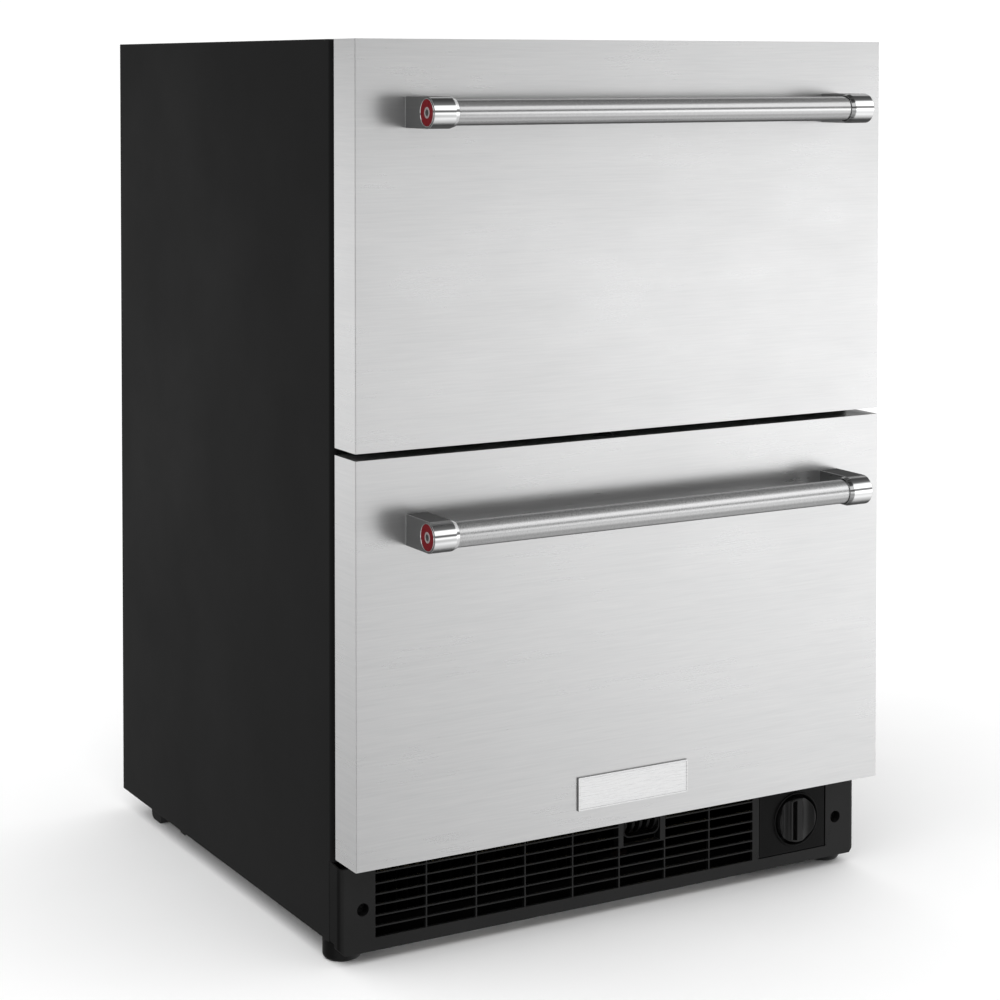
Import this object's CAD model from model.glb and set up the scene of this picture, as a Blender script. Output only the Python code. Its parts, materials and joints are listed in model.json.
import json
import math
import bpy
import bmesh
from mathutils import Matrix, Quaternion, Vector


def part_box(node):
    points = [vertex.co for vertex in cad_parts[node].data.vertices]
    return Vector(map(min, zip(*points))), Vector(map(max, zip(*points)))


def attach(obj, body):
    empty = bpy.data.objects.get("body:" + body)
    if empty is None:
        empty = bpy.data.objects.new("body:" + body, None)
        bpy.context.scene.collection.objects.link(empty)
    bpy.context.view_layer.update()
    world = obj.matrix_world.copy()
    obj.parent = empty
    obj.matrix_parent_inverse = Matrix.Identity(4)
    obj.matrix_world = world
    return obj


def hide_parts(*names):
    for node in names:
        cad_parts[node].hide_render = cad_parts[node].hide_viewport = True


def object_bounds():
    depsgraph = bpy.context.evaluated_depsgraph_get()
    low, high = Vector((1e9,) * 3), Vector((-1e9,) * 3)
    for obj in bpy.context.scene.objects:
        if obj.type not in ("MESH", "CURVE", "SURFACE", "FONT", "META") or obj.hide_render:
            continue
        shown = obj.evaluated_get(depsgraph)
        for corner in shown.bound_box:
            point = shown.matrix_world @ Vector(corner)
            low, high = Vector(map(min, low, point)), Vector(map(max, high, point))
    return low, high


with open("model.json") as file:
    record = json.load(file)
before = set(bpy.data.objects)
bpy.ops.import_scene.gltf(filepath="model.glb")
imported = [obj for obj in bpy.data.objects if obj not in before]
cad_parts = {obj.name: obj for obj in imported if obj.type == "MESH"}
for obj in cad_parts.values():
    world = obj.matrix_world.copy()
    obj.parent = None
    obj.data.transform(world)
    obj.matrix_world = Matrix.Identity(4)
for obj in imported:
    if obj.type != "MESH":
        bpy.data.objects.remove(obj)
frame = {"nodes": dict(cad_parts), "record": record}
CAD_BOX = [list(v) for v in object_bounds()]
NODES = frame["nodes"]
RECORD = frame["record"]
BODY = {n: b for b, ns in RECORD["behaviour"]["bodies"].items() for n in ns}
SLOT = {s["node"]: s["material_slot"] for s in RECORD["subparts"]}
MM = 0.001


# ------------------------------------------------------------------ materials
class Look:
    """A node-built material. Its coordinates are the row frame in metres."""

    def __init__(self, name, **values):
        self.mat = bpy.data.materials.new(name)
        self.mat.use_nodes = True
        self.nt = self.mat.node_tree
        self.nt.nodes.clear()
        self.out = self.add("ShaderNodeOutputMaterial")
        self.bsdf = self.add("ShaderNodeBsdfPrincipled")
        self.nt.links.new(self.bsdf.outputs[0], self.out.inputs[0])
        self.co = self.add("ShaderNodeTexCoord").outputs["Object"]
        for k, v in values.items():
            self.put(k.replace("_", " "), v)

    def add(self, kind, **props):
        n = self.nt.nodes.new(kind)
        for k, v in props.items():
            setattr(n, k, v)
        return n

    def feed(self, socket, v):
        if isinstance(v, bpy.types.NodeSocket):
            self.nt.links.new(v, socket)
        elif socket.type == "RGBA" and not isinstance(v, (tuple, list)):
            socket.default_value = (v, v, v, 1)
        elif socket.type == "RGBA":
            socket.default_value = tuple(v) + (1,) * (4 - len(v))
        else:
            socket.default_value = v

    def put(self, name, v):
        self.feed(self.bsdf.inputs[name], v)

    def scaled(self, x, y, z, co=None):
        n = self.add("ShaderNodeVectorMath", operation="MULTIPLY")
        self.feed(n.inputs[0], co or self.co)
        n.inputs[1].default_value = (x, y, z)
        return n.outputs[0]

    def xyz(self, co=None):
        n = self.add("ShaderNodeSeparateXYZ")
        self.feed(n.inputs[0], co or self.co)
        return n.outputs

    def noise(self, scale, detail=3.0, rough=0.55, co=None, distortion=0.0):
        n = self.add("ShaderNodeTexNoise")
        self.feed(n.inputs["Vector"], co or self.co)
        n.inputs["Scale"].default_value = scale
        n.inputs["Detail"].default_value = detail
        n.inputs["Roughness"].default_value = rough
        n.inputs["Distortion"].default_value = distortion
        return n.outputs["Fac"]

    def cells(self, scale, feature="F1", output="Distance", co=None, random=1.0):
        n = self.add("ShaderNodeTexVoronoi", feature=feature)
        self.feed(n.inputs["Vector"], co or self.co)
        n.inputs["Scale"].default_value = scale
        n.inputs["Randomness"].default_value = random
        return n.outputs[output]

    def math(self, operation, a, b=0.0, clamp=False):
        n = self.add("ShaderNodeMath", operation=operation, use_clamp=clamp)
        self.feed(n.inputs[0], a)
        self.feed(n.inputs[1], b)
        return n.outputs[0]

    def span(self, v, a, b, c, d):
        n = self.add("ShaderNodeMapRange")
        for i, x in enumerate((v, a, b, c, d)):
            self.feed(n.inputs[i], x)
        return n.outputs[0]

    def ramp(self, v, stops, interpolation="LINEAR"):
        n = self.add("ShaderNodeValToRGB")
        r = n.color_ramp
        r.interpolation = interpolation
        for i, (pos, colour) in enumerate(stops):
            e = r.elements[i] if i < 2 else r.elements.new(pos)
            e.position = pos
            c = colour if isinstance(colour, (tuple, list)) else (colour,) * 3
            e.color = tuple(c) + (1,) * (4 - len(c))
        self.feed(n.inputs[0], v)
        return n.outputs["Color"]

    def mix(self, v, a, b, kind="MIX"):
        n = self.add("ShaderNodeMix", data_type="RGBA", blend_type=kind)
        self.feed(n.inputs[0], v)
        self.feed(n.inputs[6], a)
        self.feed(n.inputs[7], b)
        return n.outputs[2]

    def bump(self, height, strength, distance, normal=None):
        n = self.add("ShaderNodeBump")
        n.inputs["Strength"].default_value = strength
        n.inputs["Distance"].default_value = distance
        self.feed(n.inputs["Height"], height)
        if normal is not None:
            self.feed(n.inputs["Normal"], normal)
        return n.outputs[0]

    def edge(self, radius, gain=6.0):
        """Near 1 on the piece's corners, 0 on its faces."""
        b = self.add("ShaderNodeBevel", samples=4)
        b.inputs["Radius"].default_value = radius
        g = self.add("ShaderNodeNewGeometry")
        d = self.add("ShaderNodeVectorMath", operation="DOT_PRODUCT")
        self.feed(d.inputs[0], b.outputs[0])
        self.feed(d.inputs[1], g.outputs["Normal"])
        return self.math("MULTIPLY", self.math("SUBTRACT", 1.0, d.outputs["Value"]), gain, True)


def facing(m, axis, stops):
    """A factor that follows how far the surface faces along an axis, from -1 to 1."""
    g = m.add("ShaderNodeNewGeometry")
    n = m.xyz(g.outputs["Normal"])[axis]
    return m.ramp(m.span(n, -1.0, 1.0, 0.0, 1.0), [((v + 1) / 2, c) for v, c in stops])


def make_looks():
    looks = {}

    # stainless sheet: long fine grain along the width, soft clouds of wiped sheen
    m = Look("stainless", Metallic=0.93)
    fine = m.noise(1.0, 1.0, 0.5, m.scaled(26, 26, 620))
    long_ = m.noise(1.0, 2.0, 0.5, m.scaled(9, 9, 230))
    cloud = m.noise(2.6, 2.0, 0.5)
    smear = m.noise(9.0, 3.0, 0.6, m.scaled(1, 1, 2.4))
    grain = m.math("ADD", m.math("MULTIPLY", fine, 0.55), m.math("MULTIPLY", long_, 0.45))
    tone = m.ramp(grain, [(0.30, (0.615, 0.617, 0.619)), (0.5, (0.642, 0.643, 0.645)), (0.70, (0.668, 0.668, 0.668))])
    soft = m.span(cloud, 0.3, 0.7, 0.985, 1.015)
    m.put("Base Color", m.mix(1.0, tone, soft, "MULTIPLY"))
    rough = m.math("ADD", m.span(grain, 0.3, 0.7, 0.275, 0.30), m.span(smear, 0.35, 0.75, -0.012, 0.02))
    m.put("Roughness", rough)
    m.put("Normal", m.bump(long_, 0.008, 0.00010))
    looks["stainless"] = m

    # satin tube: fine turned rings round the bar; the lower one is worn a little duller
    for name, r0, r1, lit, dip in (("satin_bar", 0.15, 0.21, 0.61, 0.58), ("satin_bar_dull", 0.26, 0.32, 0.78, 0.66)):
        m = Look(name)
        x = m.xyz()[0]
        wobble = m.math("MULTIPLY", m.noise(160, 1.0), 1.4)
        rings = m.math("SINE", m.math("ADD", m.math("MULTIPLY", x, 2 * math.pi / 0.00095), wobble))
        speck = m.noise(1.0, 2.0, 0.6, m.scaled(2600, 350, 350))
        tone = m.ramp(speck, [(0.3, (0.63, 0.63, 0.635)), (0.7, (0.735, 0.735, 0.735))])
        tone = m.mix(1.0, tone, facing(m, 2, [(-1.0, 0.08), (-0.89, 0.13), (-0.81, 0.44), (-0.745, 0.97), (-0.62, 1.0), (-0.52, 0.74), (-0.42, dip), (-0.32, 0.80),
                                              (-0.26, 0.87), (0.06, 0.87), (0.16, lit), (0.42, lit), (0.55, 0.87), (0.74, 0.93), (0.81, 0.80), (0.88, 0.50),
                                              (0.94, 0.32), (1.0, 0.34)]), "MULTIPLY")
        m.put("Base Color", m.mix(1.0, tone, facing(m, 1, [(-1.0, 1.0), (0.02, 1.0), (0.25, 0.12), (1.0, 0.10)]), "MULTIPLY"))
        # the underside looks down on the door's dark foot
        m.put("Metallic", facing(m, 2, [(-1.0, 0.1), (-0.86, 0.2), (-0.78, 0.9), (1.0, 0.9)]))
        m.put("Specular IOR Level", facing(m, 2, [(-1.0, 0.0), (-0.86, 0.0), (-0.78, 0.5), (1.0, 0.5)]))
        m.put("Roughness", m.span(speck, 0.3, 0.7, r0, r1))
        h = m.math("ADD", m.math("MULTIPLY", rings, 0.5), speck)
        m.put("Normal", m.bump(h, 0.09 if r0 < 0.2 else 0.05, 0.00010))
        looks[name] = m

    # polished chrome: faint haze and hairline rubbing
    m = Look("polished_chrome", Metallic=1.0)
    haze = m.noise(24, 4.0, 0.6)
    hair = m.noise(1.0, 3.0, 0.7, m.scaled(90, 2400, 900), 0.4)
    tone = m.ramp(haze, [(0.3, (0.80, 0.805, 0.81)), (0.7, (0.86, 0.86, 0.86))])
    m.put("Base Color", m.mix(1.0, tone, facing(m, 2, [(-1.0, 0.10), (-0.76, 0.07), (-0.70, 0.20), (-0.64, 0.62), (-0.58, 0.94), (-0.50, 1.0), (0.35, 1.0), (0.55, 0.70), (0.92, 0.55),
                                          (0.975, 0.10), (1.0, 0.07)]), "MULTIPLY"))
    # the flat tops look up into a dark ceiling, the undersides down on a dark foot
    m.put("Metallic", facing(m, 2, [(-1.0, 0.1), (-0.80, 0.15), (-0.70, 0.6), (-0.62, 1.0), (0.955, 1.0), (0.985, 0.1), (1.0, 0.1)]))
    m.put("Specular IOR Level", facing(m, 2, [(-1.0, 0.0), (-0.80, 0.0), (-0.66, 0.5), (0.955, 0.5), (0.985, 0.0), (1.0, 0.0)]))
    tone = m.bsdf.inputs["Base Color"].links[0].from_socket
    m.put("Base Color", m.mix(1.0, tone, facing(m, 0, [(-1.0, 0.52), (-0.97, 0.52), (-0.90, 1.0), (0.90, 1.0), (0.97, 0.52), (1.0, 0.52)]), "MULTIPLY"))
    m.put("Roughness", m.math("ADD", m.span(haze, 0.35, 0.7, 0.030, 0.055), m.span(hair, 0.60, 0.75, 0.0, 0.03)))
    m.put("Normal", m.bump(hair, 0.01, 0.00005))
    looks["polished_chrome"] = m

    # deep red enamel in the end discs
    m = Look("red_enamel", Coat_Weight=0.15, Coat_Roughness=0.08)
    depth = m.noise(260, 3.0)
    m.put("Base Color", m.ramp(depth, [(0.3, (0.100, 0.002, 0.005)), (0.7, (0.150, 0.004, 0.008))]))
    m.put("Roughness", m.span(depth, 0.3, 0.7, 0.30, 0.42))
    m.put("Specular IOR Level", 0.10)
    m.put("Normal", m.bump(depth, 0.05, 0.0001))
    looks["red_enamel"] = m

    # dark well in the middle of a disc
    m = Look("disc_centre", Metallic=0.6)
    depth = m.noise(900, 2.0)
    m.put("Base Color", m.ramp(depth, [(0.3, 0.05), (0.7, 0.09)]))
    m.put("Roughness", m.span(depth, 0.3, 0.7, 0.25, 0.4))
    looks["disc_centre"] = m

    # silver printed ring round the well
    m = Look("silver_ring", Metallic=0.35)
    depth = m.noise(1400, 2.0)
    m.put("Base Color", m.ramp(depth, [(0.3, (0.26, 0.22, 0.22)), (0.7, (0.36, 0.32, 0.32))]))
    m.put("Roughness", m.span(depth, 0.3, 0.7, 0.35, 0.5))
    looks["silver_ring"] = m

    # black coat on the cabinet's sheet
    m = Look("black_wrap")
    peel = m.noise(620, 2.0, 0.5)
    dust = m.noise(5.0, 4.0, 0.6)
    rub = m.edge(0.0016)
    base = m.ramp(dust, [(0.3, (0.0044, 0.0044, 0.0045)), (0.7, (0.0058, 0.0058, 0.0059))])
    m.put("Base Color", m.mix(m.math("MULTIPLY", rub, 0.5), base, (0.02, 0.02, 0.02)))
    m.put("Roughness", m.math("SUBTRACT", m.span(dust, 0.3, 0.7, 0.46, 0.54), m.math("MULTIPLY", rub, 0.12)))
    m.put("Specular IOR Level", 0.045)
    m.put("Normal", m.bump(peel, 0.05, 0.0002))
    looks["black_wrap"] = m

    # moulded black plastic with a fine spark-eroded texture
    m = Look("black_plastic")
    tex = m.noise(2300, 2.0, 0.6)
    flow = m.noise(14, 3.0, 0.5)
    rub = m.edge(0.0010)
    base = m.ramp(flow, [(0.3, (0.0080, 0.0080, 0.0080)), (0.7, (0.0108, 0.0108, 0.0108))])
    base = m.mix(1.0, base, facing(m, 0, [(-1.0, 0.45), (-0.80, 0.50), (-0.45, 1.0), (1.0, 1.0)]), "MULTIPLY")
    m.put("Base Color", m.mix(m.math("MULTIPLY", rub, 0.5), base, (0.026, 0.026, 0.026)))
    m.put("Roughness", m.math("SUBTRACT", m.span(tex, 0.3, 0.7, 0.38, 0.48), m.math("MULTIPLY", rub, 0.1)))
    m.put("Specular IOR Level", facing(m, 0, [(-1.0, 0.03), (-0.80, 0.05), (-0.40, 0.20), (1.0, 0.20)]))
    m.put("Normal", m.bump(tex, 0.12, 0.00008))
    looks["black_plastic"] = m

    # the same plastic, a shade darker and smoother
    m = Look("panel_plastic")
    tex = m.noise(2600, 2.0, 0.6)
    flow = m.noise(17, 3.0, 0.5)
    rub = m.edge(0.0008)
    base = m.ramp(flow, [(0.3, (0.0034, 0.0034, 0.0034)), (0.7, (0.0050, 0.0050, 0.0050))])
    m.put("Base Color", m.mix(m.math("MULTIPLY", rub, 0.7), base, (0.036, 0.036, 0.036)))
    m.put("Roughness", m.span(tex, 0.3, 0.7, 0.34, 0.44))
    m.put("Specular IOR Level", 0.08)
    m.put("Normal", m.bump(tex, 0.10, 0.00008))
    looks["panel_plastic"] = m

    # dull black of the parts behind the grille
    m = Look("soot_black")
    dust = m.noise(60, 4.0, 0.6)
    m.put("Base Color", m.ramp(dust, [(0.35, (0.0010, 0.0010, 0.0010)), (0.75, (0.0022, 0.0021, 0.0020))]))
    m.put("Roughness", m.span(dust, 0.3, 0.7, 0.75, 0.9))
    m.put("Specular IOR Level", 0.0)
    m.put("Normal", m.bump(dust, 0.1, 0.0003))
    looks["soot_black"] = m

    # knob: the same plastic, smoother
    m = Look("knob_plastic")
    tex = m.noise(3200, 2.0, 0.6)
    rub = m.edge(0.0012)
    base = m.ramp(m.noise(40, 2.0), [(0.3, (0.0075, 0.0075, 0.0075)), (0.7, (0.0105, 0.0105, 0.0105))])
    m.put("Base Color", m.mix(m.math("MULTIPLY", rub, 0.6), base, (0.05, 0.05, 0.05)))
    m.put("Roughness", m.span(tex, 0.3, 0.7, 0.30, 0.40))
    m.put("Specular IOR Level", 0.22)
    m.put("Normal", m.bump(tex, 0.06, 0.00006))
    looks["knob_plastic"] = m

    # zinc coated sheet with faint spangle
    m = Look("zinc_steel", Metallic=0.92)
    crystal = m.cells(95, output="Color")
    grey = m.add("ShaderNodeRGBToBW")
    m.feed(grey.inputs[0], crystal)
    crystal = grey.outputs[0]
    wipe = m.noise(1.0, 3.0, 0.6, m.scaled(30, 30, 240))
    tone = m.ramp(crystal, [(0.0, (0.47, 0.485, 0.50)), (1.0, (0.62, 0.63, 0.64))])
    m.put("Base Color", m.mix(0.35, tone, m.ramp(wipe, [(0.3, 0.42), (0.7, 0.64)])))
    m.put("Roughness", m.math("ADD", m.span(crystal, 0.0, 1.0, 0.33, 0.46), m.span(wipe, 0.3, 0.7, -0.03, 0.04)))
    m.put("Normal", m.bump(wipe, 0.05, 0.0001))
    looks["zinc_steel"] = m

    # rigid foam
    m = Look("foam", Roughness=0.92)
    cell = m.cells(420)
    age = m.noise(18, 4.0)
    m.put("Base Color", m.mix(m.span(cell, 0.0, 0.6, 0.0, 0.5), m.ramp(age, [(0.3, (0.70, 0.58, 0.31)), (0.7, (0.80, 0.70, 0.42))]), (0.56, 0.45, 0.22)))
    m.put("Normal", m.bump(cell, 0.5, 0.0008))
    looks["foam"] = m

    # vacuum formed white lining
    m = Look("white_plastic", Coat_Weight=0.25, Coat_Roughness=0.2)
    peel = m.noise(340, 2.0, 0.5)
    age = m.noise(7, 3.0)
    m.put("Base Color", m.ramp(age, [(0.3, (0.78, 0.79, 0.79)), (0.7, (0.84, 0.845, 0.84))]))
    m.put("Roughness", m.span(peel, 0.3, 0.7, 0.30, 0.40))
    m.put("Normal", m.bump(peel, 0.06, 0.0002))
    looks["white_plastic"] = m

    # soft vinyl and rubber
    m = Look("rubber")
    tex = m.noise(1500, 3.0, 0.6)
    bloom = m.noise(22, 4.0)
    m.put("Base Color", m.ramp(bloom, [(0.3, (0.012, 0.012, 0.012)), (0.75, (0.021, 0.021, 0.022))]))
    m.put("Roughness", m.span(tex, 0.3, 0.7, 0.52, 0.66))
    m.put("Specular IOR Level", 0.3)
    m.put("Normal", m.bump(tex, 0.10, 0.0001))
    looks["rubber"] = m

    # grey vinyl of the magnetic seals
    m = Look("seal_vinyl")
    tex = m.noise(1500, 3.0, 0.6)
    bloom = m.noise(30, 4.0)
    m.put("Base Color", m.ramp(bloom, [(0.3, (0.0022, 0.0022, 0.0024)), (0.75, (0.0042, 0.0042, 0.0044))]))
    m.put("Roughness", m.span(tex, 0.3, 0.7, 0.42, 0.55))
    m.put("Specular IOR Level", 0.08)
    m.put("Normal", m.bump(tex, 0.08, 0.0001))
    looks["seal_vinyl"] = m

    # black enamel on the cooling parts
    m = Look("black_enamel", Coat_Weight=0.5, Coat_Roughness=0.12)
    peel = m.noise(260, 2.0)
    dust = m.noise(30, 4.0)
    m.put("Base Color", m.ramp(dust, [(0.35, (0.010, 0.010, 0.010)), (0.75, (0.022, 0.021, 0.020))]))
    m.put("Roughness", m.span(dust, 0.3, 0.7, 0.25, 0.45))
    m.put("Normal", m.bump(peel, 0.08, 0.0003))
    looks["black_enamel"] = m

    # drawn copper with light tarnish
    m = Look("copper")
    tarnish = m.noise(45, 5.0, 0.6)
    # the ends at the front coil are sprayed black with it
    bare = m.math("ADD", m.span(m.xyz()[1], -0.095, -0.075, 0.0, 1.0), m.math("MULTIPLY", m.math("SUBTRACT", tarnish, 0.5), 0.2), True)
    m.put("Metallic", m.span(bare, 0.0, 1.0, 0.0, 1.0))
    m.put("Specular IOR Level", m.span(bare, 0.0, 1.0, 0.0, 0.5))
    m.put("Base Color", m.mix(bare, (0.002, 0.002, 0.002), m.ramp(tarnish, [(0.3, (0.56, 0.27, 0.16)), (0.55, (0.44, 0.20, 0.12)), (0.75, (0.20, 0.10, 0.07))])))
    m.put("Roughness", m.span(tarnish, 0.3, 0.75, 0.24, 0.50))
    m.put("Normal", m.bump(m.noise(900, 2.0), 0.05, 0.0001))
    looks["copper"] = m

    # bare aluminium fins
    m = Look("bare_aluminium", Metallic=1.0)
    mill = m.noise(1.0, 3.0, 0.6, m.scaled(700, 30, 500))
    m.put("Base Color", m.ramp(mill, [(0.3, (0.70, 0.71, 0.72)), (0.7, (0.82, 0.83, 0.84))]))
    m.put("Roughness", m.span(mill, 0.3, 0.7, 0.28, 0.42))
    looks["bare_aluminium"] = m

    # translucent moulded bins
    m = Look("bin_plastic", IOR=1.49, Coat_Weight=0.15)
    age = m.noise(6, 2.0)
    m.put("Base Color", m.ramp(age, [(0.3, (0.80, 0.86, 0.89)), (0.7, (0.88, 0.93, 0.95))]))
    m.put("Roughness", m.span(age, 0.3, 0.7, 0.20, 0.26))
    m.put("Transmission Weight", 0.50)
    m.put("Normal", m.bump(m.noise(38, 1.0), 0.02, 0.0004))
    looks["bin_plastic"] = m

    # frosted lamp cover
    m = Look("lens", IOR=1.49)
    frost = m.noise(800, 2.0, 0.5)
    m.put("Base Color", m.ramp(frost, [(0.3, (0.90, 0.92, 0.93)), (0.7, (0.96, 0.97, 0.98))]))
    m.put("Roughness", m.span(frost, 0.3, 0.7, 0.35, 0.50))
    m.put("Transmission Weight", 0.7)
    m.put("Normal", m.bump(frost, 0.2, 0.0002))
    looks["lens"] = m

    # blank bright plate
    m = Look("badge_metal")
    grain = m.noise(1.0, 3.0, 0.6, m.scaled(60, 60, 1800))
    tone = m.ramp(grain, [(0.3, (0.67, 0.675, 0.68)), (0.7, (0.74, 0.74, 0.74))])
    m.put("Base Color", m.mix(1.0, tone, facing(m, 1, [(-1.0, 1.0), (-0.90, 1.0), (-0.60, 0.22), (1.0, 0.20)]), "MULTIPLY"))
    m.put("Metallic", m.span(grain, 0.3, 0.7, 0.20, 0.30))
    m.put("Roughness", m.span(grain, 0.3, 0.7, 0.24, 0.34))
    m.put("Normal", m.bump(grain, 0.04, 0.0001))
    looks["badge_metal"] = m
    return looks


LOOKS = make_looks()


# ------------------------------------------------------------------ CAD nodes that stay
FLAT_SHEETS = ("kick_plate",)


def dress(node, bevel=0.0, segments=2, angle=35.0, look=None):
    o = NODES[node]
    o.data.materials.clear()
    o.data.materials.append(LOOKS[look or SLOT[node]].mat)
    if bevel:
        w = o.modifiers.new("weld", "WELD")
        w.merge_threshold = 2e-6
        b = o.modifiers.new("bevel", "BEVEL")
        b.width = bevel
        b.segments = segments
        b.limit_method = "ANGLE"
        b.angle_limit = math.radians(angle)
        b.miter_outer = "MITER_ARC"
        b.harden_normals = node in FLAT_SHEETS
        b.use_clamp_overlap = True
        if node in FLAT_SHEETS:
            return
        n = o.modifiers.new("normals", "WEIGHTED_NORMAL")
        n.keep_sharp = False
        n.weight = 50


BEVELS = {
    "cabinet_shell": 0.0004, "back_panel": 0.0003, "inner_liner": 0.0008, "breaker_frame": 0.0008,
    "mullion_rail": 0.0008, "rear_glides": 0.0010,
    "upper_drawer_skin": 0.0004, "lower_drawer_skin": 0.0004,
    "upper_drawer_liner": 0.0012, "lower_drawer_liner": 0.0012,
    "upper_bin": 0.0007, "lower_bin": 0.0007,
    "upper_slide_middle_rails": 0.0003, "lower_slide_middle_rails": 0.0003,
    "upper_slide_drawer_rails": 0.0003, "lower_slide_drawer_rails": 0.0003,
    "slide_fixed_rails": 0.0003, "badge_plate": 0.0002, "kick_plate": 0.00035,
    "control_panel": 0.0004, "thermostat_knob": 0.0009, "panel_screws": 0.0002,
    "grille_vent_dome": 0.0003, "evaporator_cover": 0.0004, "light_lens": 0.0006,
    "upper_handle_blocks": 0.0006, "lower_handle_blocks": 0.0006,
    "drain_pan": 0.0008, "compressor_relay_cover": 0.0015, "base_pan": 0.0002,
}
LOOK_FOR = {"control_panel": "panel_plastic", "base_pan": "soot_black", "condenser_coil": "soot_black",
            "grille_vent_dome": "panel_plastic", "breaker_frame": "panel_plastic", "panel_screws": "panel_plastic"}
for node in NODES:
    dress(node, BEVELS.get(node, 0.0), look=LOOK_FOR.get(node))


# ------------------------------------------------------------------ mesh helpers
def new_piece(name, verts, faces, mats, indices=None, smooth=True):
    me = bpy.data.meshes.new(name)
    me.from_pydata([tuple(v) for v in verts], [], faces)
    for m in mats:
        me.materials.append(m.mat if isinstance(m, Look) else m)
    if indices:
        me.polygons.foreach_set("material_index", indices)
    me.polygons.foreach_set("use_smooth", [smooth] * len(me.polygons))
    me.update()
    bm = bmesh.new()
    bm.from_mesh(me)
    bmesh.ops.recalc_face_normals(bm, faces=bm.faces)
    bm.to_mesh(me)
    bm.free()
    o = bpy.data.objects.new(name, me)
    bpy.context.scene.collection.objects.link(o)
    return o


class Mesh:
    """Collects several closed forms into one mesh."""

    def __init__(self):
        self.v, self.f, self.m = [], [], []

    def rings(self, rings, mats=0, close_start=True, close_end=True, loop=False):
        """Joins rings of equal length. mats is one index or one for each band."""
        base, n = len(self.v), len(rings[0])
        for r in rings:
            self.v += [Vector(p) for p in r]
        count = len(rings)
        for i in range(count if loop else count - 1):
            j = (i + 1) % count
            mi = mats if isinstance(mats, int) else mats[i]
            for k in range(n):
                q = (k + 1) % n
                self.f.append((base + i * n + k, base + i * n + q, base + j * n + q, base + j * n + k))
                self.m.append(mi)
        if not loop:
            if close_start:
                self.f.append(tuple(base + k for k in range(n))[::-1])
                self.m.append(mats if isinstance(mats, int) else mats[0])
            if close_end:
                self.f.append(tuple(base + (count - 1) * n + k for k in range(n)))
                self.m.append(mats if isinstance(mats, int) else mats[-1])

    def lathe(self, centre, axis, profile, mats=0, n=96):
        """profile is (distance along axis, radius) pairs, from one end to the other."""
        a = Vector(axis).normalized()
        u = a.orthogonal().normalized()
        w = a.cross(u)
        c = Vector(centre)
        rings = []
        for d, r in profile:
            r = max(r, 1e-6)
            rings.append([c + a * d + (u * math.cos(t) + w * math.sin(t)) * r for t in [2 * math.pi * k / n for k in range(n)]])
        self.rings(rings, mats)

    def tube(self, points, radius, n=16):
        """A round tube along points, with frames carried along the path."""
        p = [Vector(q) for q in points]
        rings, side = [], None
        for i, q in enumerate(p):
            t = (p[min(i + 1, len(p) - 1)] - p[max(i - 1, 0)]).normalized()
            side = t.orthogonal().normalized() if side is None else (side - t * side.dot(t)).normalized()
            up = t.cross(side)
            r = radius(i) if callable(radius) else radius
            rings.append([q + (side * math.cos(a) + up * math.sin(a)) * r for a in [2 * math.pi * k / n for k in range(n)]])
        self.rings(rings)

    def box(self, lo, hi, m=0):
        x0, y0, z0 = lo
        x1, y1, z1 = hi
        self.rings([[(x0, y0, z0), (x1, y0, z0), (x1, y1, z0), (x0, y1, z0)],
                    [(x0, y0, z1), (x1, y0, z1), (x1, y1, z1), (x0, y1, z1)]], m)

    def make(self, name, mats):
        return new_piece(name, self.v, self.f, mats, self.m)


def soften(o, width, segments=3, angle=30.0):
    b = o.modifiers.new("bevel", "BEVEL")
    b.width = width
    b.segments = segments
    b.limit_method = "ANGLE"
    b.angle_limit = math.radians(angle)
    n = o.modifiers.new("normals", "WEIGHTED_NORMAL")
    n.keep_sharp = False
    n.weight = 50
    return o


def filleted(points, radius, n=8):
    """The path with its corners rounded to radius."""
    p = [Vector(q) for q in points]
    out = [p[0]]
    for a, b, c in zip(p, p[1:], p[2:]):
        u, v = (a - b).normalized(), (c - b).normalized()
        half = u.angle(v) / 2
        if half > math.pi / 2 - 0.01:
            continue
        d = min(radius / math.tan(half), (a - b).length * 0.48, (c - b).length * 0.48)
        s, e = b + u * d, b + v * d
        for i in range(n + 1):
            t = i / n
            out.append(s * (1 - t) ** 2 + b * 2 * t * (1 - t) + e * t * t)
    out.append(p[-1])
    return out


def dense(points, step):
    out = [Vector(points[0])]
    for a, b in zip(points, points[1:]):
        a, b = Vector(a), Vector(b)
        k = max(1, int((b - a).length / step))
        out += [a.lerp(b, (i + 1) / k) for i in range(k)]
    return out


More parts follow.
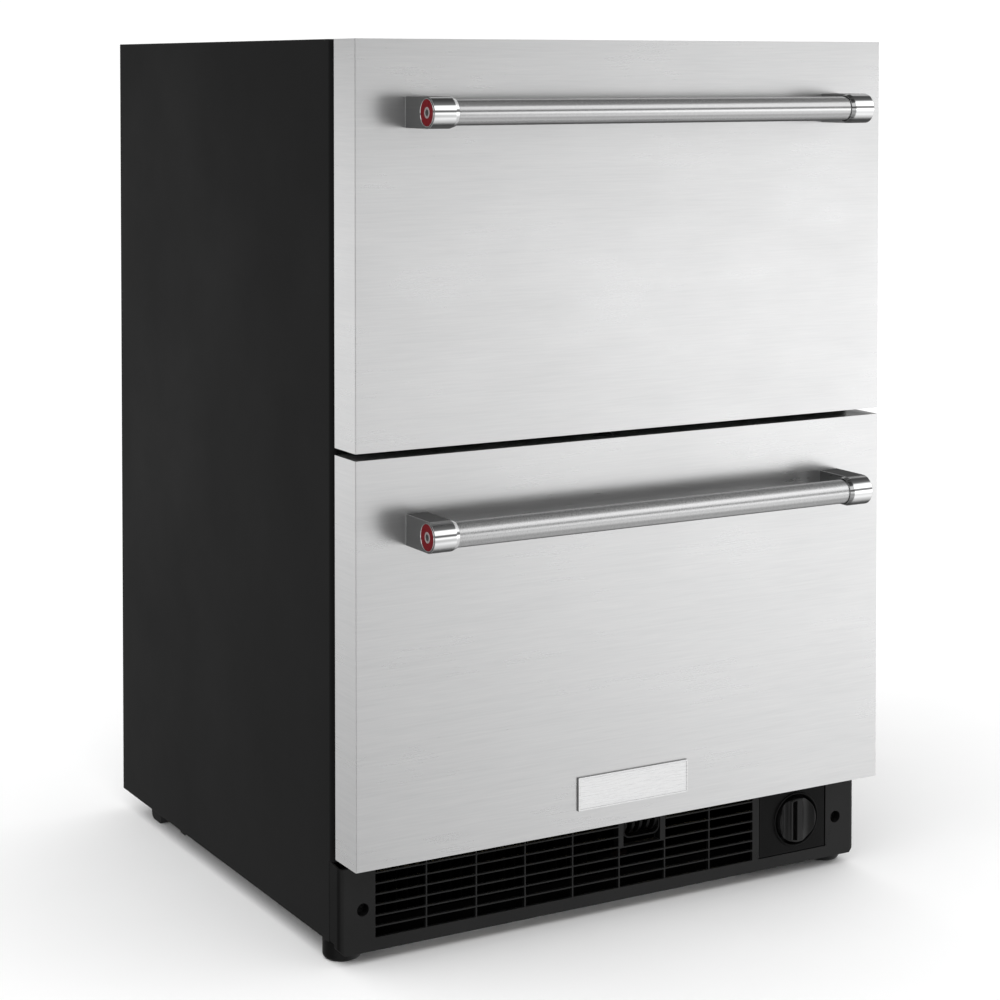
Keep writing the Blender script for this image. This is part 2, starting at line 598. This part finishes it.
# ------------------------------------------------------------------ handles
def handle(level):
    blo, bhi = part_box(level + "_handle_bar")
    clo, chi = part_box(level + "_handle_blocks")
    hy, hz = (blo.y + bhi.y) / 2, (blo.z + bhi.z) / 2
    bar_r = (bhi.z - blo.z) / 2
    R = (chi.z - clo.z) / 2 - 0.00005
    fy = chi.y
    x_in, x_out = bhi.x, chi.x
    collar = 3.8 * MM
    body = BODY[level + "_handle_bar"]

    bar = Mesh()
    half = x_in
    # a shallow turned step at each end, hidden in the collar's mouth
    prof = [(-half, bar_r - 0.0006), (-half + 0.0002, bar_r - 0.0002), (-half + 0.004, bar_r - 0.0002), (-half + 0.0042, bar_r)]
    steps = 24
    for i in range(1, steps):
        prof.append((-half + 0.0042 + (2 * half - 0.0084) * i / steps, bar_r))
    prof += [(half - 0.0042, bar_r), (half - 0.004, bar_r - 0.0002), (half - 0.0002, bar_r - 0.0002), (half, bar_r - 0.0006)]
    bar.lathe((0, hy, hz), (1, 0, 0), prof, n=128)
    o = bar.make(level + "_grip_bar", [LOOKS["satin_bar" if level == "upper" else "satin_bar_dull"]])
    e = o.modifiers.new("normals", "WEIGHTED_NORMAL")
    e.keep_sharp = False
    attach(o, body)
    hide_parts(level + "_handle_bar")

    # end blocks: a D-shaped post with a bevelled collar round the bar
    block = Mesh()
    for s in (-1, 1):
        prof = [(fy - 0.00002, hz + R)]
        prof += [(hy + R * math.cos(math.radians(a)), hz + R * math.sin(math.radians(a))) for a in range(90, 271, 4)]
        prof.append((fy - 0.00002, hz - R))
        xs = [x_in + 0.0001, x_out - 0.0007]
        block.rings([[(s * x, y, z) for y, z in prof] for x in xs])
    o = block.make(level + "_posts", [LOOKS["polished_chrome"]])
    soften(o, 0.0004, 2)
    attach(o, body)
    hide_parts(level + "_handle_blocks")

    rim = Mesh()
    for s in (-1, 1):
        mouth = x_in - collar
        rim.lathe((0, hy, hz), (s, 0, 0), [
            (x_in + 0.002, bar_r + 0.0001), (mouth + 0.0012, bar_r + 0.0001), (mouth + 0.0010, bar_r + 0.0006),
            (mouth + 0.0001, bar_r + 0.0007), (mouth, bar_r + 0.0010), (mouth + 0.0001, bar_r + 0.0012),
            (x_in - 0.0003, R - 0.0003), (x_in + 0.0002, R - 0.0001), (x_in + 0.0020, R - 0.0001),
            (x_in + 0.0021, R - 0.0012)], n=128)
    o = rim.make(level + "_collars", [LOOKS["polished_chrome"]])
    n = o.modifiers.new("normals", "WEIGHTED_NORMAL")
    n.keep_sharp = False
    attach(o, body)
    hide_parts(level + "_handle_blocks")

    disc = Mesh()
    dr = (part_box(level + "_handle_end_discs")[1].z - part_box(level + "_handle_end_discs")[0].z) / 2
    for s in (-1, 1):
        R1 = dr * 1000 - 0.1
        steps = [i * math.pi / 8 for i in range(9)]
        face = [(-1.2, R1, 1)]
        face += [(-0.45 + 0.45 * math.sin(t), R1 - 0.42 + 0.42 * math.cos(t), 1) for t in steps]
        face += [(-0.46, R1 - 0.9, 0), (-0.40, R1 - 1.3, 0), (-0.37, 9.0, 0), (-0.37, 5.5, 0), (-0.43, 5.2, 0)]
        face += [(-0.43 + 0.30 * math.sin(t), 4.10 + 1.0 * math.cos(t), 3) for t in steps]
        face += [(-0.55, 3.0, 2), (-0.60, 2.7, 2), (-0.52, 0.8, 2), (-0.50, 0.0, 2)]
        bands = [m for _, _, m in face][1:]
        disc.lathe((s * x_out, hy, hz), (s, 0, 0), [(d * MM, r * MM) for d, r, _ in face], bands, n=96)
    o = disc.make(level + "_end_medallions", [LOOKS["red_enamel"], LOOKS["polished_chrome"], LOOKS["disc_centre"], LOOKS["silver_ring"]])
    n = o.modifiers.new("normals", "WEIGHTED_NORMAL")
    n.keep_sharp = False
    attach(o, body)
    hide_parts(level + "_handle_end_discs")
    o.visible_glossy = False


for level in ("upper", "lower"):
    handle(level)


# ------------------------------------------------------------------ seals
def seal(level):
    """A bellows seal with mitred, rounded corners on the back of a drawer front."""
    lo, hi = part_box(level + "_drawer_gasket")
    y0, y1 = lo.y + 0.001, hi.y
    w = 0.012
    # outward distance and depth of the profile
    prof = [(1.0, 0.0), (11.0, 0.0), (11.2, 0.4), (11.0, 0.8), (8.6, 1.0), (8.2, 1.3), (8.6, 1.6), (10.4, 1.9), (11.6, 2.5),
            (12.0, 3.4), (11.8, 4.6), (11.0, 5.3), (9.5, 5.4), (2.5, 5.4), (1.0, 5.3), (0.2, 4.6), (0.0, 3.4), (0.4, 2.5),
            (1.6, 1.9), (3.4, 1.6), (3.8, 1.3), (3.4, 1.0), (1.0, 0.8), (0.8, 0.4)]
    m = Mesh()
    x_in, z_lo, z_hi = hi.x - w, lo.z + w, hi.z - w
    rings = []
    for u, v in prof:
        u, v = u * MM, v * MM * (y1 - y0) / 0.0054
        r = 0.006 + u
        X, Z0, Z1 = x_in + u, z_lo - u, z_hi + u
        ring = []
        for cx, cz, a0 in ((X - r, Z0 + r, -90), (X - r, Z1 - r, 0), (-X + r, Z1 - r, 90), (-X + r, Z0 + r, 180)):
            ring += [(cx + r * math.cos(math.radians(a0 + 15 * i)), y0 + v, cz + r * math.sin(math.radians(a0 + 15 * i))) for i in range(7)]
        rings.append(ring)
    m.rings(rings, loop=True)
    o = m.make(level + "_bellows_seal", [LOOKS["seal_vinyl"]])
    n = o.modifiers.new("normals", "WEIGHTED_NORMAL")
    n.keep_sharp = False
    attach(o, BODY[level + "_drawer_gasket"])
    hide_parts(level + "_drawer_gasket")


for level in ("upper", "lower"):
    seal(level)


# ------------------------------------------------------------------ power cord
def cord():
    lo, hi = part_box("power_cord")
    r = 0.004
    x0 = lo.x + 0.009          # middle of the strain relief
    y = 0.3165
    z1 = 0.200
    zl = 0.046
    px, pz = 0.044, 0.070      # where the cord enters the plug
    m = Mesh()
    path = [(x0, y - 0.006, z1), (x0, y, z1 - 0.006), (x0, y, zl), (px, y, zl), (px, y, pz + 0.006)]
    m.tube(dense(filleted(path, 0.024, 14), 0.012), r, 20)
    # strain relief: ribbed boot in the panel
    prof = [(-0.006, 0.0058), (0.0, 0.0058), (0.0002, 0.009), (0.0030, 0.009), (0.0038, 0.0082)]
    m.lathe((x0, 0.307, z1), (0, 1, 0), prof + [(0.0042, 0.0001)], n=48)
    boot = []
    for i in range(7):
        boot += [(0.002 * i, 0.0062 - 0.0002 * i), (0.002 * i + 0.0012, 0.0062 - 0.0002 * i), (0.002 * i + 0.0013, 0.0052), (0.002 * i + 0.0019, 0.0052)]
    # ribs between the cord and the plug
    m.lathe((px, y, pz - 0.012), (0, 0, 1), boot, n=32)
    o = m.make("mains_cord", [LOOKS["rubber"]])
    n = o.modifiers.new("normals", "WEIGHTED_NORMAL")
    n.keep_sharp = False
    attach(o, BODY["power_cord"])
    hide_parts("power_cord")

    plug = Mesh()
    top = 0.100
    # rounded body with finger waists
    rings = []
    for t in [i / 14 for i in range(15)]:
        z = pz + (top - pz) * t
        waist = 1.0 - 0.16 * math.sin(math.pi * min(1, t / 0.75)) ** 2 if t < 0.75 else 1.0
        hx, hy_ = 0.014 * waist, 0.008
        rr = 0.0045
        k = 1.0 if 0.04 < t < 0.96 else 0.93
        ring = []
        for sx, sy, a0 in ((1, -1, -90), (1, 1, 0), (-1, 1, 90), (-1, -1, 180)):
            for i in range(6):
                a = math.radians(a0 + 18 * i)
                ring.append((px + (sx * (hx - rr) + rr * math.cos(a)) * k, y + (sy * (hy_ - rr) + rr * math.sin(a)) * k, z))
        rings.append(ring)
    plug.rings(rings)
    o = plug.make("mains_plug_body", [LOOKS["rubber"]])
    soften(o, 0.0008, 2, 50)
    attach(o, BODY["power_cord"])
    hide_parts("power_cord")

    pins = Mesh()
    for dx in (-0.006, 0.006):
        pins.rings([[(px + dx - 0.0008, y - 0.003, z), (px + dx + 0.0008, y - 0.003, z), (px + dx + 0.0008, y + 0.003, z), (px + dx - 0.0008, y + 0.003, z)] for z in (top - 0.001, 0.1145)]
                   + [[(px + dx - 0.0004, y - 0.0022, 0.116), (px + dx + 0.0004, y - 0.0022, 0.116), (px + dx + 0.0004, y + 0.0022, 0.116), (px + dx - 0.0004, y + 0.0022, 0.116)]])
    pins.lathe((px, y + 0.004, top - 0.001), (0, 0, 1), [(0, 0.0024), (0.0165, 0.0024), (0.0182, 0.0018), (0.0190, 0.0008)], n=32)
    o = pins.make("mains_plug_pins", [LOOKS["zinc_steel"]])
    soften(o, 0.0002, 2, 40)
    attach(o, BODY["power_cord"])
    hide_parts("power_cord")


cord()


# ------------------------------------------------------------------ stage
def stage():
    lo, hi = Vector(CAD_BOX[0]), Vector(CAD_BOX[1])
    floor = Look("floor")
    speck = floor.noise(3.0, 3.0)
    floor.put("Base Color", floor.ramp(speck, [(0.3, (0.93, 0.93, 0.93)), (0.7, (0.95, 0.95, 0.95))]))
    floor.put("Roughness", 0.9)
    floor.put("Specular IOR Level", 0.0)
    s = 70.0
    o = new_piece("floor", [(-s, -s, lo.z), (s, -s, lo.z), (s, s, lo.z), (-s, s, lo.z)], [(0, 1, 2, 3)], [floor], smooth=False)
    o.visible_glossy = False

    world = bpy.data.worlds.new("studio")
    bpy.context.scene.world = world
    world.use_nodes = True
    world.cycles.sampling_method = "NONE"
    nt = world.node_tree
    nt.nodes.clear()
    add = nt.nodes.new

    def link(a, b):
        nt.links.new(a, b)

    def val(n, i, v):
        if isinstance(v, bpy.types.NodeSocket):
            link(v, n.inputs[i])
        else:
            n.inputs[i].default_value = v

    def op(kind, a, b=0.0):
        n = add("ShaderNodeMath")
        n.operation = kind
        val(n, 0, a)
        val(n, 1, b)
        return n.outputs[0]

    def ramp(v, stops):
        n = add("ShaderNodeValToRGB")
        r = n.color_ramp
        for i, (pos, c) in enumerate(stops):
            e = r.elements[i] if i < 2 else r.elements.new(pos)
            e.position = pos
            e.color = (c, c, c, 1)
        val(n, 0, v)
        return n.outputs[0]

    tc = add("ShaderNodeTexCoord")
    sep = add("ShaderNodeSeparateXYZ")
    link(tc.outputs["Generated"], sep.inputs[0])
    x, y, z = sep.outputs
    turn = op("ADD", op("DIVIDE", op("ARCTAN2", x, op("MULTIPLY", y, -1.0)), 2 * math.pi), 0.5)
    up = op("ADD", op("MULTIPLY", z, 0.5), 0.5)

    def az(deg):
        return deg / 360.0 + 0.5

    def el(sine):
        return sine * 0.5 + 0.5

    # brightness by height: dark below, pale floor, dark horizon line, soft box, dark ceiling
    height = ramp(up, [(el(-1.0), 0.05), (el(-0.95), 0.10), (el(-0.89), 0.25), (el(-0.80), 0.26), (el(-0.70), 0.32), (el(-0.58), 0.42),
                       (el(-0.36), 0.34), (el(-0.24), 0.48), (el(-0.12), 0.79), (el(-0.04), 0.715), (el(0.03), 0.42), (el(0.07), 0.10), (el(0.22), 0.10),
                       (el(0.27), 0.40), (el(0.33), 0.72), (el(0.63), 0.72), (el(0.68), 0.40), (el(0.74), 0.10), (el(1.0), 0.05)])
    # brightness by direction, seen from above
    around = ramp(turn, [(0.0, 0.46), (az(-150), 0.51), (az(-120), 0.42), (az(-90), 0.46), (az(-60), 0.66), (az(-30), 0.36), (az(0), 0.32),
                         (az(12), 0.28), (az(22), 0.37), (az(30), 0.62), (az(38), 0.91), (az(46), 0.90), (az(70), 0.72), (az(95), 0.48),
                         (az(125), 0.36), (az(155), 0.40), (1.0, 0.46)])
    # a dark screen stands to the left of the front
    wide = ramp(turn, [(az(-44), 0.0), (az(-38), 1.0), (az(-17), 1.0), (az(-8), 0.0)])
    tall = ramp(up, [(el(-0.38), 0.0), (el(-0.30), 1.0), (el(0.10), 1.0), (el(0.16), 0.0)])
    screen = op("SUBTRACT", 1.0, op("MULTIPLY", op("MULTIPLY", wide, tall), 0.82))
    glossy = op("MULTIPLY", op("MULTIPLY", op("MULTIPLY", height, around), 3.0), screen)

    path = add("ShaderNodeLightPath")
    bg_dome = add("ShaderNodeBackground")
    bg_dome.inputs[0].default_value = (1, 1, 1, 1)
    val(bg_dome, 1, op("ADD", op("MULTIPLY", z, 0.22), 1.02))
    bg_gloss = add("ShaderNodeBackground")
    bg_gloss.inputs[0].default_value = (1, 1, 1, 1)
    val(bg_gloss, 1, glossy)
    bg_seen = add("ShaderNodeBackground")
    bg_seen.inputs[0].default_value = (1, 1, 1, 1)
    bg_seen.inputs[1].default_value = 1.05
    a = add("ShaderNodeMixShader")
    link(path.outputs["Is Glossy Ray"], a.inputs[0])
    link(bg_dome.outputs[0], a.inputs[1])
    link(bg_gloss.outputs[0], a.inputs[2])
    b = add("ShaderNodeMixShader")
    link(path.outputs["Is Camera Ray"], b.inputs[0])
    link(a.outputs[0], b.inputs[1])
    link(bg_seen.outputs[0], b.inputs[2])
    out = add("ShaderNodeOutputWorld")
    link(b.outputs[0], out.inputs[0])

    # one broad lamp overhead and to the front gives the soft shadows
    lamp = bpy.data.lights.new("key", "AREA")
    lamp.shape = "RECTANGLE"
    lamp.size, lamp.size_y = 2.4, 1.6
    lamp.energy = 15.0
    ob = bpy.data.objects.new("key", lamp)
    ob.location = (-1.3, lo.y - 1.3, hi.z + 1.5)
    ob.rotation_mode = "QUATERNION"
    ob.rotation_quaternion = (Vector((0, 0, 0.4)) - Vector(ob.location)).to_track_quat("-Z", "Y")
    ob.visible_glossy = False
    ob.visible_camera = False
    bpy.context.scene.collection.objects.link(ob)
    bpy.context.scene.view_settings.view_transform = "Standard"


stage()


# ------------------------------------------------------------------ camera
def camera():
    """Stands to the left of the front, just under the top's height. Its shift keeps the uprights upright, and applies only at this place."""
    flo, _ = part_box("lower_drawer_skin")
    place = Vector((0, flo.y, flo.z)) + Vector((-1.2376, -1.9052, 0.7356))
    data = bpy.data.cameras.new("camera")
    data.sensor_width = 36.0
    data.lens = 84.16
    data.clip_start, data.clip_end = 0.05, 300.0
    cam = bpy.data.objects.new("camera", data)
    cam.rotation_mode = "QUATERNION"
    cam.location = place
    cam.rotation_quaternion = Vector((0.49424, 0.86881, -0.02975)).to_track_quat("-Z", "Y")
    bpy.context.scene.collection.objects.link(cam)
    bpy.context.scene.camera = cam
    for attr, amount in (("shift_x", 0.0038), ("shift_y", -0.3608)):
        d = data.driver_add(attr).driver
        d.type = "SCRIPTED"
        v = d.variables.new()
        v.name = "v"
        v.type = "SINGLE_PROP"
        v.targets[0].id_type = "OBJECT"
        v.targets[0].id = cam
        v.targets[0].data_path = "location[1]"
        d.expression = f"{amount} if abs(v - ({place.y:.5f})) < 0.0005 else 0.0"


camera()

bpy.context.view_layer.update()
